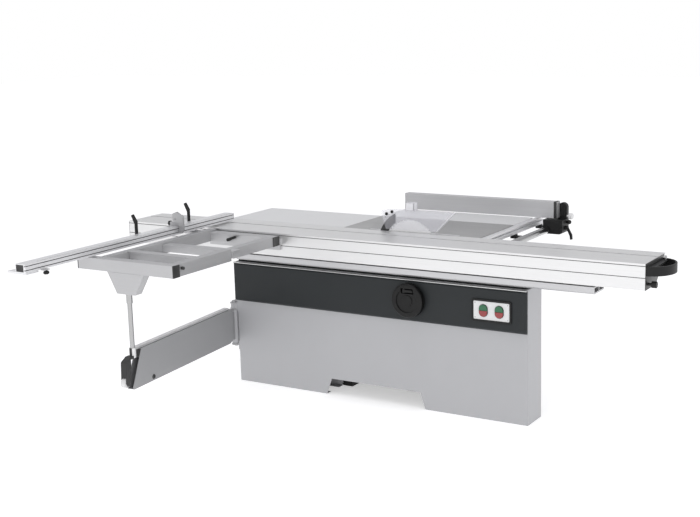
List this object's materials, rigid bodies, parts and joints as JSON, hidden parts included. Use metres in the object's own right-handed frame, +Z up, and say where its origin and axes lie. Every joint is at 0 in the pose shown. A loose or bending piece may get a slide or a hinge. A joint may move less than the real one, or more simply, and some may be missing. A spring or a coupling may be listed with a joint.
{
  "type": "panel saw",
  "caption": "Sliding-table panel saw: sheet-steel cabinet, long aluminium sliding table with outrigger and crosscut fence, tilting saw unit, rip fence on a round bar.",
  "frame": {"origin": "point on the floor straight below the saw arbor, in the plane of the saw blade", "axes": "+X along the sliding table towards the operator's end, +Y from the sliding table towards the rip fence, +Z up"},
  "size_m": [3.234, 2.52, 1.05],
  "materials": {
    "housing_paint": "satin",
    "fascia_paint": "satin",
    "frame_paint": "matte",
    "anodised": "satin",
    "beam_anodised": "satin",
    "arm_paint": "satin",
    "cast_ground": "ground",
    "table_paint": "satin",
    "cast_paint": "matte",
    "steel": "brushed",
    "chrome": "polished",
    "black_plastic": "matte",
    "white_plastic": "satin",
    "guard_clear": "gloss",
    "button_green": "gloss",
    "button_red": "gloss",
    "belt_rubber": "matte",
    "motor_paint": "satin",
    "grey_plastic": "satin"
  },
  "bodies": {
    "machine": {"base_frame": "frame_paint", "front_cabinet": "housing_paint", "rear_housing": "housing_paint", "fascia_panel": "fascia_paint", "switch_bezel": "black_plastic", "switch_plate": "white_plastic", "rail_support": "frame_paint", "base_rail": "anodised", "hinge_brackets": "housing_paint", "hinge_pin": "steel", "cast_table": "cast_ground", "table_insert": "anodised", "outfeed_table": "table_paint", "rip_extension_table": "table_paint", "table_edge_rail": "anodised", "fence_bar": "chrome", "fence_bar_brackets": "black_plastic", "trunnions": "cast_paint", "dust_outlet": "steel", "cable_gland": "black_plastic"},
    "saw_tilt": {"tilt_frame": "cast_paint"},
    "saw_rise": {"arbor_housing": "cast_paint", "motor_body": "motor_paint", "drive_belt": "belt_rubber", "riving_knife": "steel"},
    "blade_guard": {"guard_hood": "guard_clear"},
    "arbor": {"arbor_shaft": "steel", "saw_blade": "steel", "arbor_pulley": "steel"},
    "motor_rotor": {"motor_pulley": "steel"},
    "scoring": {"scoring_blade": "steel"},
    "handwheel_body": {"handwheel": "black_plastic"},
    "grip_body": {"handwheel_grip": "black_plastic"},
    "carriage": {"carriage_profile": "anodised", "push_handle": "black_plastic", "outrigger_front_beam": "beam_anodised", "outrigger_side_beams": "beam_anodised", "outrigger_rear_beam": "beam_anodised", "outrigger_cross_beams": "beam_anodised", "column_gusset": "arm_paint", "support_column": "chrome"},
    "lock_knob": {"carriage_lock_knob": "black_plastic"},
    "cage": {"roller_cage": "black_plastic"},
    "outrigger_clamp": {"outrigger_lever": "black_plastic"},
    "arm": {"swing_arm": "arm_paint"},
    "extension": {"arm_extension": "steel"},
    "roller": {"support_roller": "grey_plastic"},
    "cross_fence": {"crosscut_fence": "anodised"},
    "stop_slider": {"flip_stop_block": "black_plastic"},
    "stop_flap": {"flip_stop_plate": "anodised"},
    "lever_near": {"crosscut_lever_near": "black_plastic"},
    "lever_far": {"crosscut_lever_far": "black_plastic"},
    "carrier": {"fence_carrier": "black_plastic"},
    "rip": {"rip_fence": "anodised"},
    "clamp": {"fence_clamp_lever": "black_plastic"},
    "adjust": {"fine_adjust_knob": "white_plastic"},
    "btn_start_main": {"start_button_main": "button_green"},
    "btn_stop_main": {"stop_button_main": "button_red"},
    "btn_start_scoring": {"start_button_scoring": "button_green"},
    "btn_stop_scoring": {"stop_button_scoring": "button_red"}
  },
  "joints": [
    {"name": "handwheel_turn", "type": "hinge", "parent": "machine", "child": "handwheel_body", "pos_m": [0.15, -0.3, 0.592], "axis": [0, -1, 0], "range_deg": [-3158.04, 1533.9]},
    {"name": "blade_rise", "type": "slide", "parent": "saw_tilt", "child": "saw_rise", "axis": [0, 0, 1], "range_m": [-0.07, 0.034]},
    {"name": "guard_height", "type": "slide", "parent": "saw_rise", "child": "blade_guard", "axis": [0, 0, 1], "range_m": [-0.034, 0.07]},
    {"name": "blade_tilt", "type": "hinge", "parent": "machine", "child": "saw_tilt", "pos_m": [0, 0, 0.89], "axis": [-1, 0, 0], "range_deg": [0, 45]},
    {"name": "arbor_spin", "type": "hinge", "parent": "saw_rise", "child": "arbor", "pos_m": [0, 0, 0.8025], "axis": [0, 1, 0], "continuous": true},
    {"name": "motor_spin", "type": "hinge", "parent": "saw_rise", "child": "motor_rotor", "pos_m": [-0.09, 0.138, 0.6], "axis": [0, 1, 0], "continuous": true},
    {"name": "scoring_spin", "type": "hinge", "parent": "saw_tilt", "child": "scoring", "pos_m": [0.222, 0, 0.826], "axis": [0, 1, 0], "continuous": true},
    {"name": "handwheel_grip_fold", "type": "hinge", "parent": "handwheel_body", "child": "grip_body", "pos_m": [0.13, -0.318, 0.644], "axis": [0, 0, 1], "range_deg": [-90, 0]},
    {"name": "carriage_slide", "type": "slide", "parent": "machine", "child": "carriage", "axis": [1, 0, 0], "range_m": [-1.597, 1.2]},
    {"name": "cage_slide", "type": "slide", "parent": "machine", "child": "cage", "axis": [1, 0, 0], "range_m": [-0.7985, 0.6]},
    {"name": "swing_arm_turn", "type": "hinge", "parent": "machine", "child": "arm", "pos_m": [-1.017, -0.255, 0.32], "axis": [0, 0, 1], "range_deg": [-62.38, 46.87]},
    {"name": "extension_turn", "type": "hinge", "parent": "carriage", "child": "extension", "pos_m": [-0.915, -1.245, 0.42], "axis": [0, 0, 1], "range_deg": [-62.38, 46.87]},
    {"name": "support_roller_spin", "type": "hinge", "parent": "extension", "child": "roller", "pos_m": [-0.90721, -1.3206, 0.28], "axis": [-0.9947, -0.1025, 0], "continuous": true},
    {"name": "outrigger_lever_turn", "type": "hinge", "parent": "carriage", "child": "outrigger_clamp", "pos_m": [-0.925, -0.402, 0.85], "axis": [0, 1, 0], "range_deg": [-60, 0]},
    {"name": "carriage_lock_turn", "type": "hinge", "parent": "carriage", "child": "lock_knob", "pos_m": [1.41, -0.285, 0.79], "axis": [1, 0, 0], "range_deg": [-180, 180]},
    {"name": "crosscut_swivel", "type": "hinge", "parent": "carriage", "child": "cross_fence", "pos_m": [-1.1425, -0.44, 0.89], "axis": [0, 0, 1], "range_deg": [-45, 45]},
    {"name": "stop_slide", "type": "slide", "parent": "cross_fence", "child": "stop_slider", "axis": [0, 1, 0], "range_m": [-1.05, 0.1]},
    {"name": "stop_flip", "type": "hinge", "parent": "stop_slider", "child": "stop_flap", "pos_m": [-1.132, -0.6, 0.982], "axis": [0, 1, 0], "range_deg": [-100, 0]},
    {"name": "crosscut_lever_near_turn", "type": "hinge", "parent": "cross_fence", "child": "lever_near", "pos_m": [-1.2, -0.843, 0.95], "axis": [0, 0, 1], "range_deg": [-90, 90]},
    {"name": "crosscut_lever_far_turn", "type": "hinge", "parent": "cross_fence", "child": "lever_far", "pos_m": [-1.2, -0.402, 0.95], "axis": [0, 0, 1], "range_deg": [-90, 90]},
    {"name": "carrier_slide", "type": "slide", "parent": "machine", "child": "carrier", "axis": [0, 1, 0], "range_m": [-0.66, 0]},
    {"name": "rip_fence_slide", "type": "slide", "parent": "carrier", "child": "rip", "axis": [1, 0, 0], "range_m": [-0.5, 0]},
    {"name": "fence_clamp_turn", "type": "hinge", "parent": "carrier", "child": "clamp", "pos_m": [0.608, 0.722, 0.838], "axis": [1, 0, 0], "range_deg": [0, 80]},
    {"name": "fine_adjust_turn", "type": "hinge", "parent": "carrier", "child": "adjust", "pos_m": [0.615, 0.745, 0.902], "axis": [1, 0, 0], "continuous": true},
    {"name": "button_start_main", "type": "slide", "parent": "machine", "child": "btn_start_main", "axis": [0, 1, 0], "range_m": [0, 0.003], "stiffness_N_per_m": 800, "springref_m": -0.001},
    {"name": "button_stop_main", "type": "slide", "parent": "machine", "child": "btn_stop_main", "axis": [0, 1, 0], "range_m": [0, 0.003], "stiffness_N_per_m": 800, "springref_m": -0.001},
    {"name": "button_start_scoring", "type": "slide", "parent": "machine", "child": "btn_start_scoring", "axis": [0, 1, 0], "range_m": [0, 0.003], "stiffness_N_per_m": 800, "springref_m": -0.001},
    {"name": "button_stop_scoring", "type": "slide", "parent": "machine", "child": "btn_stop_scoring", "axis": [0, 1, 0], "range_m": [0, 0.003], "stiffness_N_per_m": 800, "springref_m": -0.001}
  ],
  "couplings": [
    {"joint": "blade_rise", "follows": "handwheel_turn", "m_per_rad": 0.00127},
    {"joint": "guard_height", "follows": "handwheel_turn", "m_per_rad": -0.00127},
    {"joint": "motor_spin", "follows": "arbor_spin", "ratio": 0.72917},
    {"joint": "cage_slide", "follows": "carriage_slide", "ratio": 0.5},
    {"joint": "swing_arm_turn", "follows": "carriage_slide", "rad_per_m": 0.6817},
    {"joint": "extension_turn", "follows": "carriage_slide", "rad_per_m": 0.6817}
  ]
}
